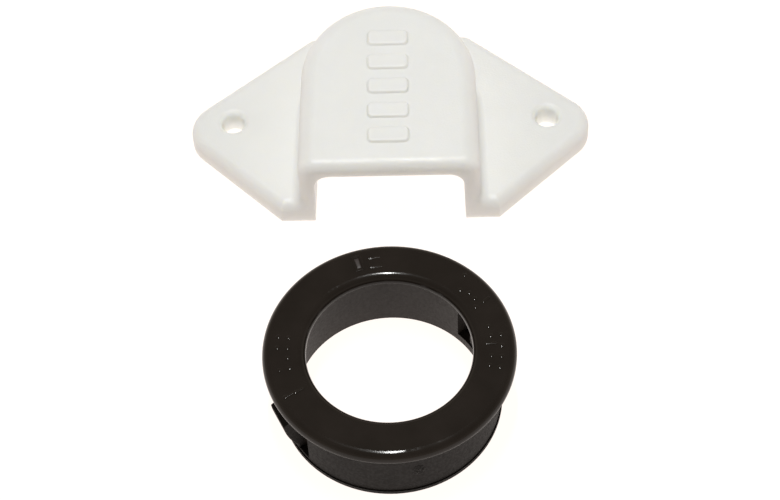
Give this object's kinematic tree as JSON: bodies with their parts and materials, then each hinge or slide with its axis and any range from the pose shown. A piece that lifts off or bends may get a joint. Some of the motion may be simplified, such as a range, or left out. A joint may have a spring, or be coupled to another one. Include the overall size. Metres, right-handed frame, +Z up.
{
  "type": "desk cable grommet and cover",
  "caption": "Black snap-in panel bushing with two sprung snap fingers, and a white screw-on hood that covers a cable entry, laid side by side.",
  "frame": {"origin": "midway between the cover's two screw holes, on the face that both pieces rest on", "axes": "+X through the cover's screw holes, +Y away from the cover's open mouth, +Z up along the screws and along the bushing's axis"},
  "size_m": [0.0744, 0.1013, 0.019],
  "materials": {
    "cover_plastic": "soft satin, off-white moulded polythene",
    "bushing_nylon": "semi-gloss black nylon with a faint mould texture"
  },
  "bodies": {
    "cover": {"cable_cover": "cover_plastic"},
    "bushing": {"grommet_body": "bushing_nylon"},
    "finger_rear": {"snap_finger_rear": "bushing_nylon"},
    "finger_front": {"snap_finger_front": "bushing_nylon"}
  },
  "joints": [
    {"name": "bushing_lift", "type": "slide", "parent": "cover", "child": "bushing", "axis": [0, 0, 1], "range_m": [0, 0.05]},
    {"name": "finger_rear_flex", "type": "hinge", "parent": "bushing", "child": "finger_rear", "pos_m": [0.01574, -0.05022, 0.0023], "axis": [0.4478, -0.8942, 0], "range_deg": [0, 21], "stiffness_Nm_per_rad": 0.25},
    {"name": "finger_front_flex", "type": "hinge", "parent": "bushing", "child": "finger_front", "pos_m": [-0.01574, -0.06598, 0.0023], "axis": [-0.4478, 0.8942, 0], "range_deg": [0, 21], "stiffness_Nm_per_rad": 0.25}
  ]
}
